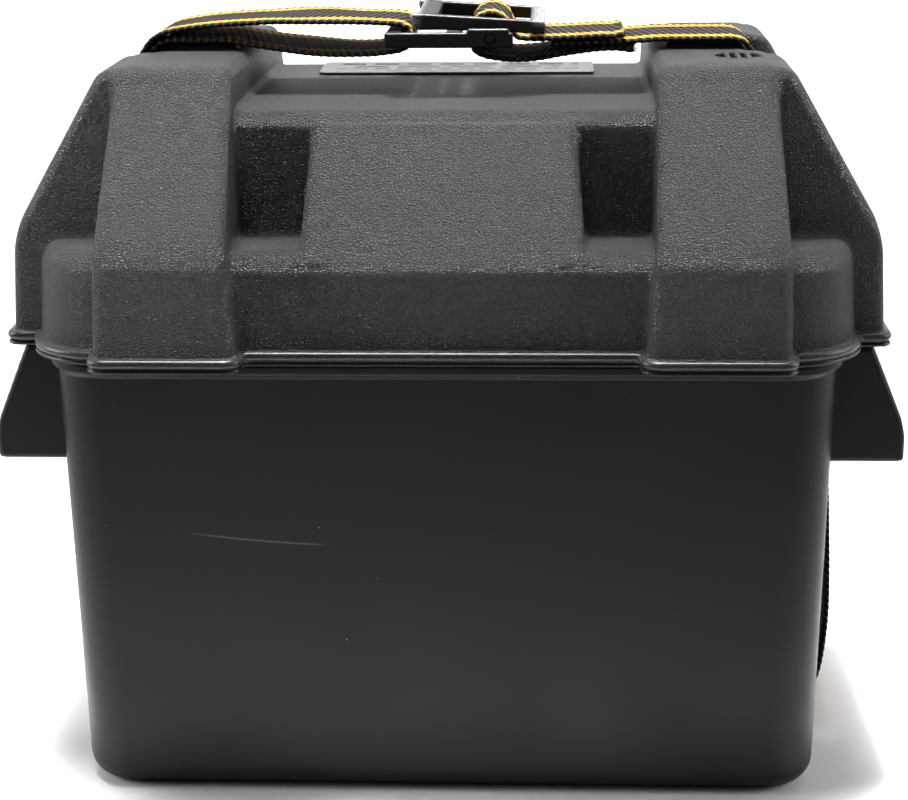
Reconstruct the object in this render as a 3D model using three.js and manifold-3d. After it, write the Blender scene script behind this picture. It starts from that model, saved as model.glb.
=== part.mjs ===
// Battery box with a small deep cycle battery inside: moulded base and lid, hold-down strap,
// cam buckle, and the six-cell battery that the box holds.
// Millimetres, +Z up, +X along the box's long side, origin at the centre of its footprint.

import * as THREE from 'three';
import { mergeVertices } from 'three/addons/utils/BufferGeometryUtils.js';
import Module from 'manifold-3d';

const wasm = await Module();
wasm.setup();

// ---------------------------------------------------------------- driving dimensions
const GAP = 0.3;                      // clearance between touching pieces

const BASE = {
  height: 131, wall: 2.8, floor: 5.5,
  bottomX: 112.2, bottomY: 79.6, topX: 114.6, topY: 82.2,
  cornerR: 15, edgeR: 8,
  flangeX: 116.6, flangeY: 83.4, flangeTop: 136.8,
  lipX: 115, lipY: 81.8, lipTop: 145, lipR: 20,
};

const HOOD = {                        // open-bottomed carrying handle on each end
  halfY: 59.5, topX: 126.6, outX: 137.3, shoulderZ: 111, bottomZ: 100.4, wall: 2.8,
};

const LID = {
  wall: 2.4, rimZ: 137.1, beadTop: 141.4, bead: 2.3,
  ledgeZ: 169.6, ledgeR: 6, cornerR: 22,
  rimX: 120, rimY: 85, ledgeX: 118.4, ledgeY: 83.8,
  deckZ: 205.8, deckX: 62, deckY: 57.3, deckChamfer: 3.4,
  panelFoot: 41, panelTop: 38.4,
};

const TOWER = {                       // strap tower, one per end, front foot to rear foot
  footIn: 59.8, footOut: 99.4, footY: 94.7,
  kneeIn: 60.6, kneeOut: 98.4, kneeY: 92, kneeZ: 171,
  topIn: 64.2, topOut: 95.8, topY: 57.4, topZ: 219, edgeR: 3.5,
};

const RIDGE = { footX: 129.5, kneeX: 127.8, topX: 100, outY: 61.5, topOutY: 59, inY: 24 };

const CHANNEL = { halfY: 23, floorX: 118, topX: 90.2 };
const SADDLE = { inX: 65.5, outX: 88.8, halfY: 17, topZ: 220.8, edgeR: 3 };
const VENT = { x: 86.4, y: 35.2, r: 7, slat: 1.4, pitch: 3.1, depth: 1.2 };
const LABEL = { halfX: 45, y0: 24, y1: 51, thick: 0.6 };

const STRAP = {
  width: 38, thick: 1.5, slotX0: 118.2, slotX1: 122, slotHalfY: 21,
  channelHalfY: 20.5, channelDepth: 3, splitZ: 142,
};

const BUCKLE = {
  pivotX: 12.5, pivotZ: 223.2, pinR: 1.3, holeR: 1.6,
  frameX0: -19.5, frameX1: 19.5, frameZ0: 220.4, frameZ1: 225,
  frameIn: 23, frameOut: 26, endBar: 5.3, gripX0: -1.5, gripX1: 3, earX0: 5.5, earTop: 226.2,
  leverIn: 19.6, leverOut: 22.7, tilt: 3.5,
};

// Buckle lever, measured from its hinge with the lever lying level.
const LEVER = {
  x0: -24.5, x1: 16.5, low0: 1.3, low1: 2, high: 5.9,
  thumbX: -16.5, endX: 11.8, camZ: 0.8, camR: 4.9, lugR: 3.4,
};

const BATTERY = {
  halfX: 98.5, halfY: 66, z0: 5.8, caseTop: 153, wall: 2.6, partition: 2, floor: 3,
  coverTop: 165, cells: 6, cellTop: 132, lugTop: 141,
  terminalX: 80, terminalY: 50, terminalTop: 186,
};

// ---------------------------------------------------------------- materials
function material(color, roughness, metalness = 0) {
  return new THREE.MeshStandardMaterial({ color, roughness, metalness });
}

const LOOK = {
  lid: () => material(0x2b2b2c, 0.62),
  base: () => material(0x1f1f20, 0.48),
  strap: () => material(0x17161a, 0.85),
  buckle: () => material(0x1c1c1d, 0.4),
  label: () => material(0xa8a8aa, 0.5),
  batteryCase: () => material(0x4a4d50, 0.5),
  batteryCover: () => material(0x2d3033, 0.5),
  rubber: () => material(0x191919, 0.8),
  lead: () => material(0x85878a, 0.5, 0.9),
  plates: () => material(0x5b5d5a, 0.8, 0.2),
  zinc: () => material(0xb9bcc0, 0.35, 1),
};

// ---------------------------------------------------------------- solids and booleans
function toSolid(geometry) {
  const bare = geometry.index ? geometry.toNonIndexed() : geometry.clone();
  bare.deleteAttribute('normal');
  bare.deleteAttribute('uv');
  const merged = mergeVertices(bare, 1e-4);
  return new wasm.Manifold(new wasm.Mesh({
    numProp: 3,
    vertProperties: new Float32Array(merged.attributes.position.array),
    triVerts: new Uint32Array(merged.index.array),
  }));
}

function toGeometry(solid) {
  const mesh = solid.getMesh();
  const geometry = new THREE.BufferGeometry();
  const points = new Float32Array(mesh.numVert * 3);
  for (let i = 0; i < mesh.numVert; i += 1) {
    for (let k = 0; k < 3; k += 1) {
      points[3 * i + k] = mesh.vertProperties[mesh.numProp * i + k];
    }
  }
  geometry.setAttribute('position', new THREE.BufferAttribute(points, 3));
  geometry.setIndex(new THREE.BufferAttribute(new Uint32Array(mesh.triVerts), 1));
  geometry.computeVertexNormals();
  return geometry;
}

const join = (solids) => solids.reduce((sum, solid) => sum.add(solid));
const cut = (solid, tools) => tools.reduce((rest, tool) => rest.subtract(tool), solid);

// Rounded rectangle x0..x1 by y0..y1, anticlockwise.
function roundedRect({ x0, x1, y0, y1, r }, steps = 5) {
  const points = [];
  const corners = [[x1 - r, y1 - r, 0], [x0 + r, y1 - r, 90], [x0 + r, y0 + r, 180], [x1 - r, y0 + r, 270]];
  for (const [cx, cy, start] of corners) {
    for (let i = 0; i <= steps; i += 1) {
      const angle = THREE.MathUtils.degToRad(start + (90 * i) / steps);
      points.push([cx + r * Math.cos(angle), cy + r * Math.sin(angle)]);
    }
  }
  return points;
}

// Closed solid through rounded rectangles stacked in z, lowest first.
function stack(levels, steps = 5) {
  const rings = levels.map((level) => roundedRect(level, steps));
  const count = rings[0].length;
  const positions = [];
  rings.forEach((ring, k) => ring.forEach(([x, y]) => positions.push(x, y, levels[k].z)));
  const index = [];
  for (let k = 0; k + 1 < rings.length; k += 1) {
    for (let i = 0; i < count; i += 1) {
      const a = k * count + i;
      const b = k * count + ((i + 1) % count);
      index.push(a, b, b + count, a, b + count, a + count);
    }
  }
  const top = (rings.length - 1) * count;
  for (let i = 1; i + 1 < count; i += 1) {
    index.push(0, i + 1, i, top, top + i, top + i + 1);
  }
  const geometry = new THREE.BufferGeometry();
  geometry.setAttribute('position', new THREE.Float32BufferAttribute(positions, 3));
  geometry.setIndex(index);
  return toSolid(geometry);
}

const centred = (z, halfX, halfY, r) => ({ z, x0: -halfX, x1: halfX, y0: -halfY, y1: halfY, r });

function block(x0, x1, y0, y1, z0, z1, r = 0.01) {
  return stack([{ z: z0, x0, x1, y0, y1, r }, { z: z1, x0, x1, y0, y1, r }], r > 0.1 ? 4 : 1);
}

// Prism of an XZ outline between two Y values.
function prismY(outline, y0, y1) {
  const shape = new THREE.Shape(outline.map(([x, z]) => new THREE.Vector2(x, z)));
  const geometry = new THREE.ExtrudeGeometry(shape, { depth: y1 - y0, bevelEnabled: false });
  geometry.rotateX(Math.PI / 2);
  geometry.translate(0, y1, 0);
  return toSolid(geometry);
}

function cylinder(r, length, axis, [x, y, z], sides = 24) {
  const geometry = new THREE.CylinderGeometry(r, r, length, sides);
  if (axis === 'x') geometry.rotateZ(Math.PI / 2);
  if (axis === 'z') geometry.rotateX(Math.PI / 2);
  geometry.translate(x, y, z);
  return toSolid(geometry);
}

const mirrorX = (solid) => solid.mirror([1, 0, 0]);
const mirrorY = (solid) => solid.mirror([0, 1, 0]);
const bothEnds = (solid) => solid.add(mirrorX(solid));
const bothSides = (solid) => solid.add(mirrorY(solid));

const model = new THREE.Group();

function addPart(name, solid, look, parent = model) {
  const mesh = new THREE.Mesh(toGeometry(solid), LOOK[look]());
  mesh.name = name;
  parent.add(mesh);
  return mesh;
}

// ---------------------------------------------------------------- base box
function makeTub(inset) {
  const { bottomX, bottomY, topX, topY, cornerR, edgeR, height, floor } = BASE;
  const r = edgeR - inset;
  const z0 = inset > 0 ? floor : 0;
  const levels = [];
  const steps = 4;
  for (let i = 0; i <= steps; i += 1) {
    const angle = (Math.PI / 2) * (i / steps);
    const inward = inset + r * (1 - Math.sin(angle));
    const z = z0 + r * (1 - Math.cos(angle));
    levels.push(centred(z, bottomX - inward, bottomY - inward, cornerR - inset));
  }
  levels.push(centred(height, topX - inset, topY - inset, cornerR - inset));
  return stack(levels);
}

function makeHood() {
  const { halfY, topX, outX, shoulderZ, bottomZ, wall } = HOOD;
  const rootX = BASE.topX - 1.2;
  const top = BASE.flangeTop;
  const outer = prismY([[rootX, bottomZ], [outX, bottomZ], [outX, shoulderZ], [topX, top], [rootX, top]],
    -halfY, halfY);
  const inner = prismY([
    [rootX - 5, bottomZ - 5], [outX - wall, bottomZ - 5], [outX - wall, shoulderZ - 0.6],
    [topX - wall + 1, top - wall], [rootX - 5, top - wall],
  ], -halfY + wall, halfY - wall);
  return outer.subtract(inner);
}

function makeBase() {
  const { flangeX, flangeY, flangeTop, lipX, lipY, lipTop, lipR, height, wall, cornerR, topX, topY } = BASE;
  const flange = stack([
    centred(height + 1.8, topX - 0.1, topY - 0.1, cornerR), centred(height + 2.8, flangeX, flangeY, cornerR + 2),
    centred(flangeTop, flangeX, flangeY, cornerR + 2),
  ]);
  const lip = stack([centred(height - 1, lipX, lipY, lipR), centred(lipTop, lipX, lipY, lipR)]);
  const shell = join([makeTub(0), flange, lip, bothEnds(makeHood())]);
  const hollow = join([
    makeTub(wall),
    stack([
      centred(height - 0.01, topX - wall, topY - wall, cornerR - wall),
      centred(lipTop + 5, topX - wall, topY - wall, cornerR - wall),
    ]),
  ]);
  const { slotX0, slotX1, slotHalfY, channelHalfY, channelDepth } = STRAP;
  const slot = block(slotX0, slotX1, -slotHalfY, slotHalfY, flangeTop - 8, flangeTop + 5);
  const underChannel = block(-flangeX, flangeX, -channelHalfY, channelHalfY, -5, channelDepth);
  return cut(shell, [hollow, bothEnds(slot), underChannel]);
}

// ---------------------------------------------------------------- lid
// Every lid block is drawn twice: full size, and inset by the wall for the hollow.
function slopeAt(kneeValue, topValue, z) {
  return THREE.MathUtils.mapLinear(z, TOWER.kneeZ, TOWER.topZ, kneeValue, topValue);
}

function makeSkirt(inset) {
  const { rimX, rimY, ledgeX, ledgeY, ledgeZ, ledgeR, cornerR, rimZ } = LID;
  const r = ledgeR - (inset > 0 ? 2 : 0);
  const top = ledgeZ - inset;
  const bottom = inset > 0 ? rimZ - 5 : rimZ;
  const levels = [centred(bottom, rimX - inset, rimY - inset, cornerR - inset)];
  const steps = 4;
  for (let i = 0; i <= steps; i += 1) {
    const angle = (Math.PI / 2) * (i / steps);
    const inward = inset + r * (1 - Math.cos(angle));
    levels.push(centred(top - r * (1 - Math.sin(angle)), ledgeX - inward, ledgeY - inward, cornerR - inward));
  }
  return stack(levels);
}

function makeDeck(inset) {
  const { deckX, deckY, deckZ, deckChamfer, ledgeZ, panelFoot, panelTop, ledgeY, ledgeR } = LID;
  const halfY = deckY - inset;
  const top = deckZ - inset;
  const deck = stack([
    centred(ledgeZ - 15, deckX, halfY + 0.8, 2), centred(top - deckChamfer, deckX, halfY, 2),
    centred(top, deckX, halfY - deckChamfer, 2),
  ]);
  const footY = ledgeY - inset - ledgeR * 0.3;
  const footX = panelFoot - inset;
  const panel = stack([
    centred(ledgeZ - 15, footX, footY, 3.5), centred(ledgeZ - 1.5, footX, footY, 3.5),
    centred(top - deckChamfer, panelTop - inset, halfY + 0.5, 3.5),
  ]);
  return deck.add(panel);
}

function makeTower(inset) {
  const t = TOWER;
  const top = t.topZ - inset;
  const bottom = inset > 0 ? LID.rimZ - 5 : LID.rimZ;
  const level = (z, xIn, xOut, y, extra = 0) => ({
    z, x0: xIn + inset + extra, x1: xOut - inset - extra, y0: -y + inset + extra, y1: y - inset - extra, r: 3.5,
  });
  const shoulder = top - t.edgeR;
  const kneeToTop = (key) => slopeAt(t[`knee${key}`], t[`top${key}`], shoulder);
  const crownY = slopeAt(t.kneeY, t.topY, top);
  return stack([
    level(bottom, t.footIn, t.footOut, t.footY),
    level(t.kneeZ - 3, t.kneeIn, t.kneeOut, t.kneeY + 0.2),
    level(t.kneeZ + 2, t.kneeIn, t.kneeOut, slopeAt(t.kneeY, t.topY, t.kneeZ + 2)),
    level(shoulder, kneeToTop('In'), kneeToTop('Out'), kneeToTop('Y')),
    level(top - t.edgeR * 0.29, t.topIn, t.topOut, crownY, t.edgeR * 0.29),
    level(top, t.topIn, t.topOut, crownY, t.edgeR),
  ], 4);
}

function makeRidge(inset) {
  const { footX, kneeX, topX, outY, topOutY, inY } = RIDGE;
  const top = TOWER.topZ - inset - 0.6;
  const bottom = inset > 0 ? LID.rimZ - 5 : LID.rimZ;
  const rootX = 70;
  const level = (z, x, y, extra = 0) => ({
    z, x0: rootX, x1: x - inset - extra, y0: inY + inset, y1: y - inset - extra, r: 2.5,
  });
  return stack([
    level(bottom, footX, outY + 0.5),
    level(TOWER.kneeZ - 3, kneeX, outY),
    level(TOWER.kneeZ + 3, slopeAt(kneeX, topX, TOWER.kneeZ + 3), outY),
    level(top - TOWER.edgeR, slopeAt(kneeX, topX, top - TOWER.edgeR), topOutY),
    level(top, slopeAt(kneeX, topX, top), topOutY, TOWER.edgeR),
  ], 4);
}

function makeBead() {
  const { rimX, rimY, rimZ, beadTop, bead, cornerR } = LID;
  const t = TOWER;
  const belt = (rect, r) => {
    const grown = (extra, z) => ({
      z, x0: rect.x0 - extra, x1: rect.x1 + extra, y0: rect.y0 - extra, y1: rect.y1 + extra, r: r + extra,
    });
    return stack([
      grown(bead * 0.6, rimZ), grown(bead, rimZ + 1), grown(bead, beadTop - 1), grown(0.2, beadTop),
    ]);
  };
  const skirt = belt({ x0: -rimX, x1: rimX, y0: -rimY, y1: rimY }, cornerR);
  const tower = belt({ x0: t.footIn, x1: t.footOut, y0: -t.footY, y1: t.footY }, 4);
  const ridge = belt({ x0: 70, x1: RIDGE.footX, y0: RIDGE.inY, y1: RIDGE.outY + 0.5 }, 3);
  return join([skirt, bothEnds(tower), bothEnds(bothSides(ridge))]);
}

// Space in front of the strap: down each end between the two ridges.
function makeChannel(inset) {
  const { halfY, floorX, topX } = CHANNEL;
  const shift = inset * 1.05;
  const above = TOWER.topZ + 12;
  const outline = [
    [floorX - shift, LID.rimZ - 20], [150, LID.rimZ - 20], [150, above],
    [slopeAt(floorX, topX, above) - shift, above], [floorX - shift, TOWER.kneeZ],
  ];
  return prismY(outline, -halfY - inset, halfY + inset);
}

function makeSaddle() {
  const { inX, outX, halfY, topZ, edgeR } = SADDLE;
  const foot = TOWER.topZ - 1.5;
  const level = (z, extra) => ({
    z, x0: inX + extra, x1: outX - extra, y0: -halfY + extra * 0.4, y1: halfY - extra * 0.4, r: 1.2,
  });
  return stack([level(foot, 0), level(topZ - 1.2, 0.3), level(topZ - 0.3, edgeR * 0.6), level(topZ, edgeR)], 3);
}

function makeVentCut() {
  const { x, y, r, slat, pitch, depth } = VENT;
  const disc = cylinder(r, depth * 2, 'z', [x, -y, TOWER.topZ], 28);
  const bars = [-1, 0, 1].map((step) => block(x + step * pitch - slat / 2, x + step * pitch + slat / 2,
    -y - r - 1, -y + r + 1, TOWER.topZ - depth - 1, TOWER.topZ + 1));
  return cut(disc, bars);
}

function makeLid() {
  const hull = (inset) => join([
    makeSkirt(inset), makeDeck(inset), bothEnds(makeTower(inset)), bothEnds(bothSides(makeRidge(inset))),
  ]);
  const outside = cut(join([hull(0), makeBead()]), [bothEnds(makeChannel(0))]).add(bothEnds(makeSaddle()));
  const inside = cut(hull(LID.wall), [bothEnds(makeChannel(LID.wall))]);
  const frontVent = makeVentCut();
  const rearVent = mirrorX(mirrorY(frontVent));
  return cut(outside, [inside, frontVent, rearVent]);
}

function makeLabel() {
  const { halfX, y0, y1, thick } = LABEL;
  const z = LID.deckZ + GAP;
  return block(-halfX, halfX, y0, y1, z, z + thick, 2);
}

// ---------------------------------------------------------------- strap
// Webbing along an XZ path: the path is the middle of the thickness.
function makeRibbon(path) {
  const corners = path.map(([x, z]) => new THREE.Vector3(x, z, 0));
  const curve = new THREE.CatmullRomCurve3(corners, false, 'centripetal');
  const count = Math.max(6, path.length * 4);
  const near = [];
  const far = [];
  for (let i = 0; i <= count; i += 1) {
    const point = curve.getPointAt(i / count);
    const tangent = curve.getTangentAt(i / count);
    const normal = [-tangent.y * STRAP.thick / 2, tangent.x * STRAP.thick / 2];
    near.push([point.x + normal[0], point.y + normal[1]]);
    far.unshift([point.x - normal[0], point.y - normal[1]]);
  }
  return prismY([...near, ...far].reverse(), -STRAP.width / 2, STRAP.width / 2);
}

const runX = 119.6;                   // middle of the webbing where it stands in the handle slot

const lowerHalf = [[runX, STRAP.splitZ - GAP], [runX, 120], [runX + 0.3, 87], [121.6, 50], [121.7, 32],
  [119.5, 14], [115.8, 5.2], [111.5, 2], [106, 1.4], [96, 1.35], [60, 1.35]];
const mirrored = (path) => path.map(([x, z]) => [-x, z]).reverse();

const strapPaths = {
  strap_lower: [...lowerHalf, ...mirrored(lowerHalf)],
  strap_left: [[-runX, STRAP.splitZ], [-119.9, 158], [-119.4, 167.5], [-117.8, 173.4], [-113.1, 181.6],
    [-99, 206.3], [-92.1, 218.4], [-89.6, 221.1], [-86, 222], [-76, 222], [-70, 222], [-66.5, 221.7],
    [-62.6, 220.9], [-49, 218.9], [-34, 217.7], [-24, 217.7], [-19.5, 218.2], [-15.5, 218.8], [-12.8, 220.2],
    [-12.4, 222.4], [-12.6, 225.2], [-15, 226.6], [-20, 227.1], [-28, 227.4], [-40, 227.8], [-53, 227.6],
    [-61, 227.3], [-68.7, 226.9], [-76, 226.3], [-83.5, 225.3], [-88.2, 224.3], [-91.8, 222.3], [-94.3, 219.2],
    [-96.9, 214.4], [-102.2, 204.8]],
  strap_right: [[31, 220.5], [40, 220.8], [48, 221], [56, 221.4], [63, 221.9], [70, 222], [84, 222],
    [86, 222], [89.6, 221.1], [92.1, 218.4], [99, 206.3], [113.1, 181.6], [117.8, 173.4], [119.4, 167.5],
    [119.9, 158], [runX, STRAP.splitZ]],
  strap_right_fold: [[31, 222.3], [40, 222.6], [47, 222.9], [50, 222.9], [53.4, 223.6]],
  strap_right_tail: [[31, 216.9], [38, 218], [46, 219], [51, 219.1], [56, 218.5]],
};

function makeBuckleLoop() {
  const radius = LEVER.camR + GAP + STRAP.thick / 2;
  const path = [];
  for (let angle = 170; angle >= 10; angle -= 20) {
    const a = THREE.MathUtils.degToRad(angle);
    path.push([radius * Math.cos(a), LEVER.camZ + radius * Math.sin(a)]);
  }
  return makeRibbon(path);
}

// ---------------------------------------------------------------- buckle
function makeBuckleFrame() {
  const b = BUCKLE;
  const rail = block(b.frameX0, b.frameX1, b.frameIn, b.frameOut, b.frameZ0, b.frameZ1, 0.6);
  const ear = block(b.earX0, b.frameX1 - 1, b.frameIn, b.frameOut, b.frameZ0 + 1, b.earTop, 0.6);
  const bar = (x0, x1, z0, z1) => block(x0, x1, -b.frameIn - 0.5, b.frameIn + 0.5, z0, z1, 0.6);
  const endBar = bar(b.frameX0 + 0.02, b.frameX0 + b.endBar, b.frameZ0 + 0.3, b.frameZ1 - 0.1);
  const gripBar = bar(b.gripX0, b.gripX1, b.frameZ0 + 0.1, b.frameZ1 - 1);
  const pinHole = cylinder(b.pinR + GAP / 2, 80, 'y', [b.pivotX, 0, b.pivotZ]);
  return cut(join([bothSides(rail), bothSides(ear), endBar, gripBar]), [pinHole]);
}

function makeBuckleLever() {
  const { leverIn, leverOut, holeR } = BUCKLE;
  const { x0, x1, low0, low1, high, thumbX, endX, camZ, camR, lugR } = LEVER;
  const outline = [[x0 + 1.2, low0 + 0.6], [x0 + 4, low0], [x1, low1], [x1, high - 0.6], [x1 - 0.8, high],
    [x0 + 2.4, high], [x0 + 0.8, high - 1.2], [x0, low0 + 2.2]];
  const rail = prismY(outline, leverIn, leverOut);
  const lug = cylinder(lugR, leverOut - leverIn, 'y', [0, (leverIn + leverOut) / 2, 0]);
  const bar = (from, to, z0, z1) => block(from, to, -leverIn - 0.5, leverIn + 0.5, z0, z1, 0.7);
  const thumbBar = bar(x0 + 1.6, thumbX, low0 + 0.5, high - 0.1);
  const endBar = bar(endX, x1 - 0.1, low1 + 0.2, high - 0.3);
  const camBar = cylinder(camR, 2 * leverIn + 1, 'y', [0, 0, camZ], 24);
  const pinHole = cylinder(holeR, 80, 'y', [0, 0, 0]);
  const keep = cylinder(holeR + 0.2, 2 * leverIn - 2, 'y', [0, 0, 0], 20);
  return join([cut(join([bothSides(rail), bothSides(lug), thumbBar, endBar, camBar]), [pinHole]), keep]);
}

function makeBucklePin(side) {
  const b = BUCKLE;
  const from = b.leverIn - 0.1;
  const to = b.frameOut + 0.3;
  return cylinder(b.pinR, to - from, 'y', [b.pivotX, side * (from + to) / 2, b.pivotZ]);
}

// ---------------------------------------------------------------- battery
const cellPitch = (2 * (BATTERY.halfX - BATTERY.wall) + BATTERY.partition) / BATTERY.cells;
const cellX = (i) => -BATTERY.halfX + BATTERY.wall - BATTERY.partition / 2 + cellPitch * (i + 0.5);
const cellHalfX = (cellPitch - BATTERY.partition) / 2;

function makeBatteryCase() {
  const b = BATTERY;
  const body = block(-b.halfX, b.halfX, -b.halfY, b.halfY, b.z0, b.caseTop, 5);
  const cells = Array.from({ length: b.cells }, (_, i) => block(cellX(i) - cellHalfX, cellX(i) + cellHalfX,
    -b.halfY + b.wall, b.halfY - b.wall, b.z0 + b.floor, b.caseTop + 5, 2.2));
  const links = Array.from({ length: b.cells - 1 }, (_, i) => {
    const x = (cellX(i) + cellX(i + 1)) / 2;
    return block(x - 4, x + 4, linkY(i) - 8, linkY(i) + 8, b.lugTop - 4, b.caseTop + 5);
  });
  return cut(body, [...cells, ...links]);
}

const linkY = (i) => (i % 2 === 0 ? 30 : -30);

// Plates and separators of one cell, with its two cast lead straps on top.
function makeCellPack(i) {
  const b = BATTERY;
  const x = cellX(i);
  const halfX = cellHalfX - 0.6;
  const halfY = b.halfY - b.wall - 1.2;
  const plates = block(x - halfX, x + halfX, -halfY, halfY, b.z0 + b.floor + GAP, b.cellTop, 1);
  const lugs = [-30, 30].map((y) => block(x - halfX + 2, x + halfX - 2, y - 9, y + 9,
    b.cellTop - 2, b.lugTop - 5, 1));
  return join([plates, ...lugs]);
}

function makeCellLink(i) {
  const b = BATTERY;
  const x = (cellX(i) + cellX(i + 1)) / 2;
  const reach = 9;
  const base = b.lugTop - 5 + GAP;
  const bar = block(x - reach, x + reach, linkY(i) - 7, linkY(i) + 7, b.lugTop - 4 + GAP, b.lugTop + 2, 1);
  const feet = [-1, 1].map((side) => block(x + side * (reach - 3) - 3, x + side * (reach - 3) + 3,
    linkY(i) - 7, linkY(i) + 7, base, b.lugTop, 1));
  return join([bar, ...feet]);
}

const CAP = { r: 8, y: 12 };          // vent caps stand in one row along the cover

function makeBatteryCover() {
  const b = BATTERY;
  const z0 = b.caseTop + GAP;
  const plate = stack([
    centred(z0, b.halfX, b.halfY, 5), centred(b.coverTop - 1.5, b.halfX, b.halfY, 5),
    centred(b.coverTop, b.halfX - 1.5, b.halfY - 1.5, 4),
  ]);
  const hollow = block(-b.halfX + 3, b.halfX - 3, -b.halfY + 3, b.halfY - 3, z0 - 1, z0 + 5, 3);
  const capHoles = Array.from({ length: b.cells }, (_, i) => cylinder(CAP.r - 2, 30, 'z',
    [cellX(i), CAP.y, b.coverTop]));
  const trough = block(-b.halfX + 8, b.halfX - 8, 1, 23, b.coverTop - 4, b.coverTop + 5, 3);
  const posts = [-1, 1].map((side) => block(side * b.terminalX - 8, side * b.terminalX + 8,
    -b.terminalY - 5, -b.terminalY + 5, z0 - 5, b.coverTop + 5, 1));
  return cut(plate, [hollow, trough, ...capHoles, ...posts]);
}

function makeVentCap(i) {
  const b = BATTERY;
  const floorZ = b.coverTop - 4;
  return join([
    cylinder(CAP.r - 2 - GAP, 5, 'z', [cellX(i), CAP.y, floorZ - 1.2]),
    cylinder(CAP.r, 1.4, 'z', [cellX(i), CAP.y, floorZ + GAP + 0.7]),
  ]);
}

function makeVentStrip() {
  const b = BATTERY;
  const z0 = b.coverTop - 4 + GAP + 1.4 + GAP;
  const halfX = b.halfX - 8 - GAP;
  return stack([
    { z: z0, x0: -halfX, x1: halfX, y0: 1 + GAP, y1: 23 - GAP, r: 2.6 },
    { z: b.coverTop + 0.8, x0: -halfX, x1: halfX, y0: 1 + GAP, y1: 23 - GAP, r: 2.6 },
    { z: b.coverTop + 1.5, x0: -halfX + 1, x1: halfX - 1, y0: 2 + GAP, y1: 22 - GAP, r: 2 },
  ]);
}

const boltZ = BATTERY.terminalTop - 9;

// Upright lead flag with a bolt hole, standing on the end cell's strap.
function makeTerminal(side) {
  const b = BATTERY;
  const x = side * b.terminalX;
  const y = -b.terminalY;
  const stem = block(x - 6.5, x + 6.5, y - 3.5, y + 3.5, b.cellTop + GAP, b.coverTop + 4, 1);
  const flag = block(x - 8.5, x + 8.5, y - 2.2, y + 2.2, b.coverTop + GAP, b.terminalTop, 1.5);
  const hole = cylinder(3.6, 30, 'y', [x, y, boltZ]);
  return join([stem, flag]).subtract(hole);
}

function makeTerminalBolt(side) {
  const x = side * BATTERY.terminalX;
  const face = -BATTERY.terminalY - 2.2 - GAP;
  const head = cylinder(5.8, 4, 'y', [x, face - 2, boltZ], 6);
  const shank = cylinder(3, 18, 'y', [x, face + 8, boltZ]);
  return head.add(shank);
}

function makeTerminalNut(side) {
  const x = side * BATTERY.terminalX;
  const face = -BATTERY.terminalY + 2.2 + GAP;
  const nut = cylinder(5.8, 4.8, 'y', [x, face + 2.4, boltZ], 6);
  return nut.subtract(cylinder(3.3, 20, 'y', [x, face, boltZ]));
}

// ---------------------------------------------------------------- assembly
addPart('base_box', makeBase(), 'base');
addPart('lid', makeLid(), 'lid');
addPart('lid_label', makeLabel(), 'label');

for (const [name, path] of Object.entries(strapPaths)) {
  addPart(name, makeRibbon(path), 'strap');
}

addPart('buckle_frame', makeBuckleFrame(), 'buckle');
addPart('buckle_pin_front', makeBucklePin(-1), 'buckle');
addPart('buckle_pin_rear', makeBucklePin(1), 'buckle');

const leverGroup = new THREE.Group();
leverGroup.position.set(BUCKLE.pivotX, 0, BUCKLE.pivotZ);
leverGroup.rotation.y = THREE.MathUtils.degToRad(BUCKLE.tilt);
model.add(leverGroup);
addPart('buckle_lever', makeBuckleLever(), 'buckle', leverGroup);
addPart('strap_buckle_loop', makeBuckleLoop(), 'strap', leverGroup);

addPart('battery_case', makeBatteryCase(), 'batteryCase');
for (let i = 0; i < BATTERY.cells; i += 1) {
  addPart(`cell_pack_${i + 1}`, makeCellPack(i), 'plates');
  addPart(`vent_cap_${i + 1}`, makeVentCap(i), 'rubber');
}
for (let i = 0; i + 1 < BATTERY.cells; i += 1) {
  addPart(`cell_link_${i + 1}`, makeCellLink(i), 'lead');
}
addPart('battery_cover', makeBatteryCover(), 'batteryCover');
addPart('vent_strip', makeVentStrip(), 'batteryCover');

for (const [end, side] of [['negative', -1], ['positive', 1]]) {
  addPart(`terminal_${end}`, makeTerminal(side), 'lead');
  addPart(`terminal_bolt_${end}`, makeTerminalBolt(side), 'zinc');
  addPart(`terminal_nut_${end}`, makeTerminalNut(side), 'zinc');
}

export default model;
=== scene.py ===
"""Looks of the strapped battery box: moulded lid and tub, webbing strap, cam buckle and the battery inside.

Lengths are in millimetres until a mesh is made, where MM turns them into metres. The battery box is longest
along X, and its front faces -Y.
"""
import math

import bpy
import numpy as np
from mathutils import Matrix, Vector


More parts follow.
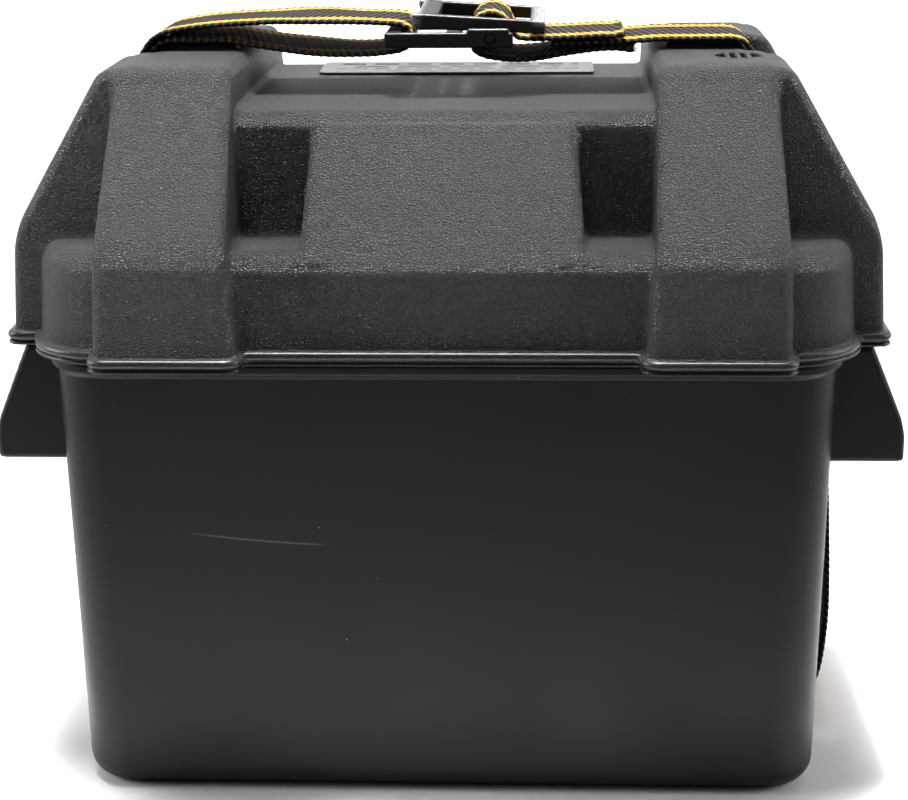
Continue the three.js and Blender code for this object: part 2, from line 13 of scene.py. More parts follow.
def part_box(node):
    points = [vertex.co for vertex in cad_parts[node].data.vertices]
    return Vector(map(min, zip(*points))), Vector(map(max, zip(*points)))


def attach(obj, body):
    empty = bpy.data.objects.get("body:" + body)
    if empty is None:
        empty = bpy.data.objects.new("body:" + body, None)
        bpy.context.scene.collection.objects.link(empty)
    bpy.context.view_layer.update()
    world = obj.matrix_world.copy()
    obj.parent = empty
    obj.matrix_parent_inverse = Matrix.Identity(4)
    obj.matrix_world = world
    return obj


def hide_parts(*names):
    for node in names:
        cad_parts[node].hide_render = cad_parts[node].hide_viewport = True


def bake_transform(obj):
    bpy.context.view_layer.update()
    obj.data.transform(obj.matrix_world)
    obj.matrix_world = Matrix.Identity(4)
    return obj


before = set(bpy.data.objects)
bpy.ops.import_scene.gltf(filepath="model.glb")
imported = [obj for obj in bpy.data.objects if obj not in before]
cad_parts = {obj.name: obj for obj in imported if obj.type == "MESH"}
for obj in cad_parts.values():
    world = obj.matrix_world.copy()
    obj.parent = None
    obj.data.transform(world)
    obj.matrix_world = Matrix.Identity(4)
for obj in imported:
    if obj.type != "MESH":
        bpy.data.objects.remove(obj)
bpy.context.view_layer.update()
MM = 0.001


def span(node):
    """Lowest and highest corner of a CAD node, in millimetres."""
    low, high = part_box(node)
    return [v / MM for v in low], [v / MM for v in high]


# ------------------------------------------------------------------ sizes shared with the CAD model
LID_LOW = span("lid")[0]
BASE_HIGH = span("base_box")[1]

LID_WALL = 2.4
RIM_Z = LID_LOW[2]
BEAD_TOP, BEAD_OUT = 141.4, 2.3
SKIRT_RIM, SKIRT_LEDGE, SKIRT_CORNER = (120.0, 85.0), (118.4, 83.8), 22.0
LEDGE_Z, LEDGE_R = 169.6, 6.0
DECK_Z, DECK_Y, DECK_CHAMFER = 205.8, 57.3, 3.4
DECK_HALF, DECK_DRAFT, DECK_FOOT_Z = 75.0, 0.8, LEDGE_Z - 15
PANEL_FOOT, PANEL_TOP, PANEL_SINK, PANEL_LOW_Z = 41.0, 38.4, 0.4, LEDGE_Z - 7.0
PANEL_FOLD = (SKIRT_LEDGE[1] - 0.6, LEDGE_Z - 3.1)
KNEE_Z, TOWER_TOP = 171.0, 219.0
TOWER_IN, TOWER_OUT = (59.8, 60.6, 64.2), (99.4, 98.4, 95.8)
TOWER_FRONT = (94.7, 92.0, 57.4)
RIDGE_END, RIDGE_SIDE = (129.5, 127.8, 100.0), (62.0, 61.5, 59.0)
RIDGE_START, RIDGE_IN, RIDGE_DROP = 70.0, 24.0, 0.6
CHANNEL_HALF, CHANNEL_FLOOR, CHANNEL_TOP = 23.0, 118.0, 90.2
SADDLE_IN, SADDLE_OUT, SADDLE_HALF, SADDLE_TOP = 65.5, 88.8, 17.0, 220.8
VENT_X, VENT_Y, VENT_R, VENT_DEPTH = 86.4, 35.2, 7.0, 1.2
VENT_SLAT, VENT_PITCH = 1.4, 3.1

TUB_BOTTOM, TUB_TOP, TUB_CORNER, TUB_EDGE = (112.2, 79.6), (114.6, 82.2), 15.0, 8.0
TUB_WALL, TUB_FLOOR, TUB_HEIGHT = 2.8, 5.5, 131.0
FLANGE, FLANGE_LOW, FLANGE_TOP = (116.6, 83.4), 133.4, 136.8
LIP, LIP_R, LIP_TOP = (115.0, 81.8), 20.0, BASE_HIGH[2]
HOOD_HALF, HOOD_TOP_X, HOOD_OUT, HOOD_SHOULDER, HOOD_BOTTOM = 59.5, 126.6, BASE_HIGH[0], 111.0, 100.4
SLOT_X, SLOT_HALF = (118.2, 122.0), 21.0
UNDER_HALF, UNDER_DEPTH = 20.5, 3.0

STRAP_WIDTH, STRAP_THICK = 38.0, 1.5

PIVOT_X, PIVOT_Z, PIN_R = 12.5, 223.2, 1.3
FRAME_X, FRAME_Z, FRAME_Y, FRAME_BAR_HALF = (-19.5, 19.5), (220.4, 225.0), (23.0, 26.0), 23.5
LEVER_Y, LEVER_BAR_HALF, LEVER_TILT = (19.6, 22.7), 20.1, math.radians(3.5)
CAM_RISE = 0.8

# How surface_mesh moves a rough point onto the surface, in millimetres
GRADIENT_STEP = 0.02
LONGEST_STEP = 0.8
LARGEST_MOVE, LARGEST_SHARED_MOVE, ODD_MOVE = 1.0, 0.5, 0.3
FLAT_SLOPE, CREASE_SLOPE = 0.05, 0.6
TINY = 1e-9


# ------------------------------------------------------------------ shapes as distance fields
def rounded_max(radius, *fields):
    """Intersection of fields with its edges rounded."""
    corner = sum(np.maximum(field + radius, 0.0) ** 2 for field in fields)
    return np.minimum(np.maximum.reduce(fields), -radius) + np.sqrt(corner)


def rounded_min(radius, *fields):
    """Union of fields with its inner corners filleted."""
    return -rounded_max(radius, *[-field for field in fields])


def beyond_line(a, z, a0, z0, a1, z1):
    """Distance past the line from (a0, z0) up to (a1, z1), positive on the side of larger a."""
    length = math.hypot(a1 - a0, z1 - z0)
    return ((a - a0) * (z1 - z0) - (z - z0) * (a1 - a0)) / length


def rounded_rect(ax, ay, half_x, half_y, radius):
    """Distance outside an upright rectangle with round corners."""
    qx, qy = ax - half_x + radius, ay - half_y + radius
    outside = np.sqrt(np.maximum(qx, 0.0) ** 2 + np.maximum(qy, 0.0) ** 2)
    return outside + np.minimum(np.maximum(qx, qy), 0.0) - radius


def slab(value, low, high):
    """Distance outside the stretch from low to high."""
    return np.maximum(low - value, value - high)


def between(z, low, high, value_low, value_high):
    """Straight-line value at height z, held beyond both ends."""
    share = np.clip((z - low) / (high - low), 0.0, 1.0)
    return value_low + share * (value_high - value_low)


def profile(a, z, foot_z, foot, knee, top, radius):
    """Outer face that stands from foot to knee and then slopes to top."""
    lower = beyond_line(a, z, foot, foot_z, knee, KNEE_Z)
    upper = beyond_line(a, z, knee, KNEE_Z, top, TOWER_TOP)
    return rounded_max(radius, lower, upper)


def grid_line(*stretches):
    """Grid positions: each stretch is (start, end, step)."""
    values = []
    for start, end, step in stretches:
        count = max(1, round((end - start) / step))
        values.extend(np.linspace(start, end, count + 1)[:-1])
    values.append(stretches[-1][1])
    return np.array(values)


def mirrored_line(*stretches):
    """A grid line for both sides of zero, with a cell's middle at zero."""
    half = grid_line(*stretches)
    step = half[1] - half[0]
    half = half + step / 2
    return np.concatenate([-half[::-1], half])


def surface_mesh(name, field, xs, ys, zs, polish=4):
    """Closed quad mesh where the field is zero, by surface nets, with its points moved onto the surface."""
    grid = np.meshgrid(xs, ys, zs, indexing="ij")
    values = field(*grid)
    inside = values < 0
    shape = [n - 1 for n in values.shape]
    count = np.zeros(shape, int)
    for corner in np.ndindex(2, 2, 2):
        window = tuple(slice(c, c + n) for c, n in zip(corner, shape))
        count += inside[window]
    cells = np.argwhere((count > 0) & (count < 8))
    lines = (xs, ys, zs)

    total = np.zeros((len(cells), 3))
    hits = np.zeros(len(cells))
    for axis in range(3):
        for side in np.ndindex(2, 2):
            first = np.insert(np.array(side), axis, 0)
            second = np.insert(np.array(side), axis, 1)
            a, b = cells + first, cells + second
            va, vb = values[tuple(a.T)], values[tuple(b.T)]
            crossed = (va < 0) != (vb < 0)
            share = np.where(crossed, va / np.where(crossed, va - vb, 1.0), 0.0)
            pa = np.stack([lines[k][a[:, k]] for k in range(3)], axis=1)
            pb = np.stack([lines[k][b[:, k]] for k in range(3)], axis=1)
            total += np.where(crossed[:, None], pa + share[:, None] * (pb - pa), 0.0)
            hits += crossed
    points = total / hits[:, None]

    index = np.full(shape, -1)
    index[tuple(cells.T)] = np.arange(len(cells))
    quads = []
    for axis in range(3):
        low = [slice(None)] * 3
        high = [slice(None)] * 3
        low[axis], high[axis] = slice(0, -1), slice(1, None)
        changed = np.argwhere(inside[tuple(low)] != inside[tuple(high)])
        u, v = [k for k in range(3) if k != axis]
        near = (changed[:, u] > 0) & (changed[:, v] > 0)
        near &= (changed[:, u] < values.shape[u] - 1) & (changed[:, v] < values.shape[v] - 1)
        changed = changed[near]
        ring = []
        for du, dv in ((-1, -1), (0, -1), (0, 0), (-1, 0)):
            cell = changed.copy()
            cell[:, u] += du
            cell[:, v] += dv
            ring.append(index[tuple(cell.T)])
        quad = np.stack(ring, axis=1)
        solid_first = inside[tuple(changed.T)]
        flip = solid_first if axis == 1 else ~solid_first
        quad[flip] = quad[flip][:, ::-1]
        quads.append(quad)
    quads = np.concatenate(quads)

    def gradient(p):
        parts = []
        for k in range(3):
            shift = np.zeros(3)
            shift[k] = GRADIENT_STEP
            ahead, behind = p + shift, p - shift
            parts.append((field(*ahead.T) - field(*behind.T)) / (2 * GRADIENT_STEP))
        return np.stack(parts, axis=1)

    rough = points.copy()
    for _ in range(polish):
        slope = gradient(points)
        steep = np.maximum((slope**2).sum(axis=1), FLAT_SLOPE)
        move = field(*points.T)[:, None] * slope / steep[:, None]
        length = np.linalg.norm(move, axis=1)
        points -= move * np.minimum(1.0, LONGEST_STEP / np.maximum(length, TINY))[:, None]

    # A point that moved unlike its neighbours has lost its surface: it moves as they did.
    moved = points - rough
    shared, count = np.zeros_like(points), np.zeros(len(points))
    for a, b in ((0, 1), (1, 2), (2, 3), (3, 0)):
        for here, there in ((a, b), (b, a)):
            np.add.at(shared, quads[:, here], moved[quads[:, there]])
            np.add.at(count, quads[:, here], 1)
    shared /= np.maximum(count, 1)[:, None]
    strayed = np.linalg.norm(moved - shared, axis=1) > ODD_MOVE
    strayed |= np.linalg.norm(moved, axis=1) > LARGEST_MOVE
    length = np.linalg.norm(shared, axis=1)
    shared *= np.minimum(1.0, LARGEST_SHARED_MOVE / np.maximum(length, TINY))[:, None]
    points[strayed] = (rough + shared)[strayed]

    # In a crease the field has no one slope: a zero normal leaves that point to Blender.
    normals = gradient(points)
    steepness = np.linalg.norm(normals, axis=1)
    normals /= np.maximum(steepness, TINY)[:, None]
    normals[steepness < CREASE_SLOPE] = 0.0

    mesh = bpy.data.meshes.new(name)
    mesh.from_pydata((points * MM).tolist(), [], quads.tolist())
    mesh.polygons.foreach_set("use_smooth", [True] * len(mesh.polygons))
    mesh.normals_split_custom_set_from_vertices(normals.tolist())
    mesh.update()
    piece = bpy.data.objects.new(name, mesh)
    bpy.context.scene.collection.objects.link(piece)
    return piece


# ------------------------------------------------------------------ lid and tub
def lid_outside(x, y, z):
    """The lid's outer surface, without its rim bead, open downwards."""
    ax, ay = np.abs(x), np.abs(y)
    half_x = between(z, RIM_Z, LEDGE_Z, SKIRT_RIM[0], SKIRT_LEDGE[0])
    half_y = between(z, RIM_Z, LEDGE_Z, SKIRT_RIM[1], SKIRT_LEDGE[1])
    skirt = rounded_max(LEDGE_R, rounded_rect(ax, ay, half_x, half_y, SKIRT_CORNER), z - LEDGE_Z)

    deck_wall = beyond_line(ay, z, DECK_Y + DECK_DRAFT, DECK_FOOT_Z, DECK_Y, DECK_Z - DECK_CHAMFER)
    deck_slope = beyond_line(ay, z, DECK_Y, DECK_Z - DECK_CHAMFER, DECK_Y - DECK_CHAMFER, DECK_Z)
    deck = rounded_max(0.8, rounded_max(0.8, deck_wall, deck_slope), z - DECK_Z, ax - DECK_HALF)

    # The panel stays just inside the skirt's face and the deck's chamfer, so that no two faces coincide.
    panel_side = beyond_line(ax, z, PANEL_FOOT, LEDGE_Z, PANEL_TOP, DECK_Z - DECK_CHAMFER)
    panel_slope = beyond_line(ay, z, *PANEL_FOLD, DECK_Y + 0.2, DECK_Z - DECK_CHAMFER)
    panel_top = z - DECK_Z + DECK_CHAMFER - 0.3
    panel = rounded_max(3.0, panel_side, rounded_max(0.6, panel_slope, panel_top), PANEL_LOW_Z - z)
    panel = rounded_max(1.5, panel, ay - half_y + PANEL_SINK)

    tower_front = profile(ay, z, RIM_Z, *TOWER_FRONT, 2.5)
    tower_side = profile(ax, z, RIM_Z, *TOWER_OUT, 0.5)
    tower_inner = -profile(ax, z, RIM_Z, *TOWER_IN, 0.0)
    tower = rounded_max(3.6, tower_front, tower_side, tower_inner, z - TOWER_TOP)

    ridge_end = profile(ax, z, RIM_Z, *RIDGE_END, 3.0)
    ridge_side = profile(ay, z, RIM_Z, *RIDGE_SIDE, 0.5)
    ridge_top = z - TOWER_TOP + RIDGE_DROP
    ridge = rounded_max(3.0, ridge_end, ridge_side, RIDGE_IN - 4.0 - ay, ridge_top, RIDGE_START - ax)

    # The fillet fades out across the panel, whose top and foot run into the deck and skirt without one.
    fillet = 1.8 * np.clip((ax - PANEL_TOP + 3.0) / 3.0, 0.03, 1.0)
    shell = rounded_min(fillet, skirt, deck, panel)
    shell = rounded_min(2.2, shell, rounded_min(2.0, tower, ridge))
    return carve_channel(shell, ax, ay, z)


def carve_channel(shell, ax, ay, z):
    """Cuts the strap's channel between the two ridges of each end."""
    floor_slope = beyond_line(ax, z, CHANNEL_FLOOR, KNEE_Z, CHANNEL_TOP, TOWER_TOP)
    floor = rounded_max(6.0, ax - CHANNEL_FLOOR, floor_slope)
    channel = rounded_max(1.2, ay - CHANNEL_HALF, -floor)
    return rounded_max(1.8, shell, -channel)


def lid_field(x, y, z):
    """The lid: its outer surface with rolled rim, strap saddles and vents, hollow underneath."""
    ax, ay = np.abs(x), np.abs(y)
    outside = lid_outside(x, y, z)
    foot = lid_outside(x, y, np.full_like(z, RIM_Z + 3.0))
    roll = rounded_max(1.45, foot - BEAD_OUT, slab(z, RIM_Z + 1.5, BEAD_TOP))
    lower_lip = rounded_max(0.6, foot - BEAD_OUT + 0.2, slab(z, RIM_Z, RIM_Z + 1.4))
    bead = np.minimum(roll, lower_lip)
    bead = np.maximum(bead, np.minimum(ax - CHANNEL_FLOOR, CHANNEL_HALF - ay))

    saddle_middle, saddle_half = (SADDLE_IN + SADDLE_OUT) / 2, (SADDLE_OUT - SADDLE_IN) / 2
    saddle_x = np.abs(ax - saddle_middle) - saddle_half
    saddle_end = rounded_max(2.4, saddle_x, z - SADDLE_TOP)
    saddle = rounded_max(0.7, saddle_end, ay - SADDLE_HALF, TOWER_TOP - 3.0 - z)

    vent_x = x * np.sign(-y) - VENT_X
    disc = rounded_max(0.3, np.hypot(vent_x, ay - VENT_Y) - VENT_R, TOWER_TOP - VENT_DEPTH - z)
    beside = np.minimum(np.abs(vent_x - VENT_PITCH), np.abs(vent_x + VENT_PITCH))
    bars = np.minimum(np.abs(vent_x), beside)
    vent = rounded_max(0.3, disc, VENT_SLAT / 2 - bars)

    solid = rounded_min(0.9, outside, bead)
    solid = rounded_min(0.6, solid, saddle)
    solid = rounded_max(0.5, solid, -vent)
    hollow = outside + LID_WALL
    return rounded_max(0.5, solid, -hollow, RIM_Z - z)


def tub_field(x, y, z):
    """The tub: collar, inner lip, hollow handle hoods with strap slots, and the channel under its floor."""
    ax, ay = np.abs(x), np.abs(y)
    half_x = between(z, 0.0, TUB_HEIGHT, TUB_BOTTOM[0], TUB_TOP[0])
    half_y = between(z, 0.0, TUB_HEIGHT, TUB_BOTTOM[1], TUB_TOP[1])
    wall = rounded_rect(ax, ay, half_x, half_y, TUB_CORNER)
    body = rounded_max(TUB_EDGE, wall, -z)
    body = rounded_max(0.5, body, z - FLANGE_TOP + 1)
    flange_wall = rounded_rect(ax, ay, *FLANGE, TUB_CORNER + 2)
    flange = rounded_max(0.8, flange_wall, slab(z, FLANGE_LOW, FLANGE_TOP))
    lip_wall = rounded_rect(ax, ay, *LIP, LIP_R)
    lip = rounded_max(0.6, lip_wall, z - LIP_TOP, TUB_HEIGHT - z)

    hood_slope = beyond_line(ax, z, HOOD_OUT, HOOD_SHOULDER, HOOD_TOP_X, FLANGE_TOP)
    hood_face = rounded_max(1.6, ax - HOOD_OUT, hood_slope, z - FLANGE_TOP)
    hood_out = rounded_max(2.0, hood_face, ay - HOOD_HALF)
    hood = rounded_max(0.8, rounded_max(1.2, hood_out, HOOD_BOTTOM - z), -(hood_out + TUB_WALL))
    hood = np.maximum(hood, TUB_TOP[0] - 1.5 - ax)

    solid = rounded_min(1.5, body, flange, hood)
    solid = rounded_min(0.6, solid, lip)
    hollow = rounded_max(TUB_EDGE - TUB_WALL, wall + TUB_WALL, TUB_FLOOR - z)
    hollow = np.maximum(hollow, lip_wall + 2.4 - np.maximum(TUB_HEIGHT - z, 0.0))
    slot_x = np.abs(ax - sum(SLOT_X) / 2) - (SLOT_X[1] - SLOT_X[0]) / 2
    slot = np.maximum.reduce([slot_x, ay - SLOT_HALF, FLANGE_TOP - 8 - z])
    under = np.maximum(ay - UNDER_HALF, z - UNDER_DEPTH)
    return rounded_max(0.5, solid, -hollow, -slot, -under)


def frame_field(x, y, z):
    """Buckle frame: two rails with ears, an end bar and a grip bar, and a hole for the hinge pins."""
    ay = np.abs(y)
    rail = rounded_max(0.7, slab(x, *FRAME_X), slab(ay, *FRAME_Y), slab(z, *FRAME_Z))
    ear = rounded_max(0.9, slab(x, 5.5, FRAME_X[1] - 1), slab(ay, *FRAME_Y), slab(z, 221.4, 226.2))
    end_bar = rounded_max(1.0, slab(x, FRAME_X[0] + 0.02, -14.2), ay - FRAME_BAR_HALF, slab(z, 220.7, 224.9))
    grip_bar = rounded_max(0.9, slab(x, -1.5, 3.0), ay - FRAME_BAR_HALF, slab(z, 220.5, 224.0))
    hole = np.hypot(x - PIVOT_X, z - PIVOT_Z) - PIN_R - 0.15
    return rounded_max(0.3, rounded_min(0.7, np.minimum(rail, ear), end_bar, grip_bar), -hole)


def lever_field(x, y, z):
    """Cam lever: two rails with hinge lugs, a thumb bar, an end bar and the cam that pinches the webbing."""
    ay = np.abs(y)
    dx, dz = x - PIVOT_X, z - PIVOT_Z
    lx = math.cos(LEVER_TILT) * dx - math.sin(LEVER_TILT) * dz
    lz = math.sin(LEVER_TILT) * dx + math.cos(LEVER_TILT) * dz
    low_face = beyond_line(-lz, lx, -1.3, -20.5, -2.0, 16.5)
    nose = beyond_line(-lx, -lz, 24.8, -3.9, 22.6, -1.2)
    rail = rounded_max(0.9, nose, lx - 16.5, slab(ay, *LEVER_Y), lz - 5.9, low_face, -24.5 - lx)
    lug = rounded_max(0.5, np.hypot(lx, lz) - 3.4, slab(ay, *LEVER_Y))
    thumb_bar = rounded_max(1.2, slab(lx, -22.9, -16.5), ay - LEVER_BAR_HALF, slab(lz, 1.8, 5.8))
    end_bar = rounded_max(0.9, slab(lx, 11.8, 16.4), ay - LEVER_BAR_HALF, slab(lz, 2.2, 5.6))
    cam = rounded_max(0.3, np.hypot(lx, lz - CAM_RISE) - 4.9, ay - LEVER_BAR_HALF)
    hole = rounded_max(0.2, np.hypot(lx, lz) - PIN_R - 0.3, 18.6 - ay)
    return rounded_max(0.3, rounded_min(0.6, np.minimum(rail, lug), thumb_bar, end_bar, cam), -hole)


# ------------------------------------------------------------------ webbing
RIB = 2.4            # length of one rib along the strap
RIB_SLANT = -0.2     # how far a rib runs along for each millimetre across
RIB_RELIEF = 0.20    # share of the thickness lost between two ribs
SCALLOP, SCALLOP_START = 0.23, 15.0
STRAP_EDGE = 0.75    # where the flat face turns into the round edge
EDGE_TURN = (0.6, 1.1)


def smooth_path(points, step):
    """Evenly spaced points on a centripetal Catmull-Rom curve through (x, z) points."""
    pts = np.array(points, float)
    pts = np.vstack([2 * pts[0] - pts[1], pts, 2 * pts[-1] - pts[-2]])
    share = np.linspace(0, 1, 24, endpoint=False)[:, None]
    dense = []
    for p0, p1, p2, p3 in zip(pts, pts[1:], pts[2:], pts[3:]):
        d0, d1, d2 = (max(np.linalg.norm(b - a), 1e-6) ** 0.5 for a, b in ((p0, p1), (p1, p2), (p2, p3)))
        m1 = ((p1 - p0) / d0 - (p2 - p0) / (d0 + d1) + (p2 - p1) / d1) * d1
        m2 = ((p2 - p1) / d1 - (p3 - p1) / (d1 + d2) + (p3 - p2) / d2) * d1
        s2, s3 = share**2, share**3
        dense.append((2 * s3 - 3 * s2 + 1) * p1 + (s3 - 2 * s2 + share) * m1
                     + (3 * s2 - 2 * s3) * p2 + (s3 - s2) * m2)
    dense.append(pts[-2:-1])
    dense = np.concatenate(dense)
    along = np.concatenate([[0.0], np.cumsum(np.linalg.norm(np.diff(dense, axis=0), axis=1))])
    even = np.linspace(0, along[-1], max(4, round(along[-1] / step)) + 1)
    return np.stack([np.interp(even, along, dense[:, k]) for k in range(2)], axis=1), even


def webbing_section():
    """(across, height) of the webbing's outline, from the upper face round the far edge and back."""
    half, columns = STRAP_WIDTH / 2, 25
    flat = np.linspace(-half + STRAP_EDGE, half - STRAP_EDGE, columns)
    across = np.concatenate([flat, half - STRAP_EDGE * (1 - np.sin(EDGE_TURN))])
    drop = STRAP_THICK / 2 * np.concatenate([np.ones(columns), np.cos(EDGE_TURN)])
    upper = np.stack([across, drop], axis=1)
    tip = np.array([[half, 0.0]])
    lower = np.stack([across[::-1], -drop[::-1]], axis=1)
    left = np.array([[-half + STRAP_EDGE * (1 - math.sin(a)), -STRAP_THICK / 2 * math.cos(a)]
                     for a in EDGE_TURN])
    left_tip = np.array([[-half, 0.0]])
    left_up = left[::-1] * [1, -1]
    return np.concatenate([upper, tip, lower, left, left_tip, left_up])


def make_webbing(name, path, step=0.6, wave=None, frayed=False):
    """A woven strap along an (x, z) path: scalloped edges, low ribs, and a UV map in strap widths."""
    middle, along = smooth_path(path, step)
    tangent = np.gradient(middle, axis=0)
    tangent /= np.linalg.norm(tangent, axis=1)[:, None]
    normal = np.stack([-tangent[:, 1], tangent[:, 0]], axis=1)
    section = webbing_section()
    rings, count = len(middle), len(section)
    across, height = section[:, 0][None, :], section[:, 1][None, :]
    edge = np.clip((np.abs(across) - SCALLOP_START) / (STRAP_WIDTH / 2 - SCALLOP_START), 0, 1)
    scallop = SCALLOP * edge * (1 + np.cos(2 * math.pi * along / RIB))[:, None]
    width = across - np.sign(across) * scallop
    cord = 0.5 + 0.5 * np.cos(2 * math.pi * (along[:, None] + RIB_SLANT * across) / RIB)
    lift = height * (1 - RIB_RELIEF + RIB_RELIEF * cord)
    x = middle[:, 0][:, None] + normal[:, 0][:, None] * lift
    z = middle[:, 1][:, None] + normal[:, 1][:, None] * lift
    if wave:
        low, high, size = wave
        window = np.clip((x - low) / 12, 0, 1) * np.clip((high - x) / 12, 0, 1) * (z > TOWER_TOP - 4)
        z = z + size * window * np.sin(x / 7.0 + width / 9.0)
    points = np.stack([x, width, z], axis=2).reshape(-1, 3)
    faces = []
    for i in range(rings - 1):
        for j in range(count):
            k = (j + 1) % count
            faces.append((i * count + j, i * count + k, (i + 1) * count + k, (i + 1) * count + j))
    faces.append(tuple(range(count))[::-1])
    faces.append(tuple((rings - 1) * count + j for j in range(count)))
    u = (width / STRAP_WIDTH + 0.5).ravel()
    v = np.repeat(along / STRAP_WIDTH, count)
    if frayed:
        points, faces, u, v = add_threads(points, faces, u, v, middle[-1], tangent[-1])
    mesh = bpy.data.meshes.new(name)
    mesh.from_pydata((points * MM).tolist(), [], faces)
    mesh.polygons.foreach_set("use_smooth", [True] * len(mesh.polygons))
    corners = np.empty(len(mesh.loops), int)
    mesh.loops.foreach_get("vertex_index", corners)
    layer = mesh.uv_layers.new(name="strap")
    layer.data.foreach_set("uv", np.stack([u[corners], v[corners]], axis=1).ravel())
    mesh.set_sharp_from_angle(angle=math.radians(50))
    mesh.update()
    check = np.cross(points[1] - points[0], points[count] - points[0])
    if np.dot(check, [normal[0, 0], 0, normal[0, 1]]) < 0:
        mesh.flip_normals()
    piece = bpy.data.objects.new(name, mesh)
    bpy.context.scene.collection.objects.link(piece)
    return piece


def add_threads(points, faces, u, v, end, direction):
    """Loose threads standing out of a cut end: thin four-sided tubes."""
    rng = np.random.default_rng(7)
    points, faces, u, v = list(points), list(faces), list(u), list(v)
    for across in np.linspace(-STRAP_WIDTH / 2 + 0.6, STRAP_WIDTH / 2 - 0.6, 34):
        length = rng.uniform(0.5, 1.8)
        lean = rng.uniform(-0.5, 0.5, 2)
        height = rng.uniform(-0.3, 0.3)
        first = len(points)
        for share in (-0.4, 0.5, 1.0):
            out_x, out_z = direction[0] * length * share, direction[1] * length * share
            lean_y, lean_z = lean[0] * share * abs(share), lean[1] * share * abs(share)
            centre = np.array([end[0] + out_x, across + lean_y, end[1] + out_z + height + lean_z])
            radius = 0.13 if share < 1 else 0.07
            for dy, dz in ((-1, 0), (0, -1), (1, 0), (0, 1)):
                points.append(centre + np.array([0.0, dy * radius, dz * radius]))
                u.append(across / STRAP_WIDTH + 0.5)
                v.append(v[-1])
        for ring in (0, 1):
            for j in range(4):
                k = (j + 1) % 4
                a, b = first + ring * 4, first + ring * 4 + 4
                faces.append((a + j, a + k, b + k, b + j))
        faces.append(tuple(first + j for j in range(4))[::-1])
        faces.append(tuple(first + 8 + j for j in range(4)))
    return np.array(points), faces, np.array(u), np.array(v)


# The webbing's route as (x, z) points, the same as in the CAD model
RUN_X = 119.6
LOWER_HALF = [
    (RUN_X, 141.0), (RUN_X, 120), (RUN_X + 0.3, 87), (121.6, 50), (121.7, 32), (119.5, 14),
    (115.8, 5.2), (111.5, 2), (106, 1.4), (96, 1.35), (60, 1.35)]
LEFT_PATH = [
    (-102.2, 204.8), (-96.9, 214.4), (-94.3, 219.2), (-91.8, 222.3), (-88.2, 224.3), (-83.5, 225.3),
    (-76, 226.3), (-68.7, 226.9), (-61, 227.3), (-53, 227.6), (-40, 227.8), (-28, 227.4), (-20, 227.1),
    (-15, 226.6), (-12.6, 225.2), (-12.4, 222.4), (-12.8, 220.2), (-15.5, 218.8), (-19.5, 218.2),
    (-24, 217.7), (-34, 217.7), (-49, 218.9), (-62.6, 220.9), (-66.5, 221.7), (-70, 222), (-76, 222),
    (-86, 222), (-89.6, 221.1), (-92.1, 218.4), (-99, 206.3), (-113.1, 181.6), (-117.8, 173.4),
    (-119.4, 167.5), (-119.9, 158)]
RIGHT_PATH = [
    (119.9, 158), (119.4, 167.5), (117.8, 173.4), (113.1, 181.6), (99, 206.3), (92.1, 218.4),
    (89.6, 221.1), (86, 222), (84, 222), (70, 222), (63, 221.9), (56, 221.4), (48, 221), (40, 220.8),
    (31, 220.5)]
CAM_R = 5.95


def buckle_path():
    """From the fold on the right, under the lever's end bar, over the cam and back as the loose tail."""
    cam_x = PIVOT_X + CAM_RISE * math.sin(LEVER_TILT)
    cam_z = PIVOT_Z + CAM_RISE * math.cos(LEVER_TILT)
    arch = [(cam_x + CAM_R * math.cos(math.radians(a)), cam_z + CAM_R * math.sin(math.radians(a)))
            for a in range(15, 200, 20)]
    fold = [(53.4, 223.7), (50, 222.9), (47, 222.95), (40, 222.6), (31, 222.3), (25, 222.2), (20.5, 222.9)]
    tail = [(7.6, 218.8), (10.5, 217.2), (14, 216.4), (20.5, 215.9), (27, 216.3), (34, 217.5), (40, 218.4),
            (46, 219.1), (51, 219.2), (56, 218.6)]
    return fold + arch + tail


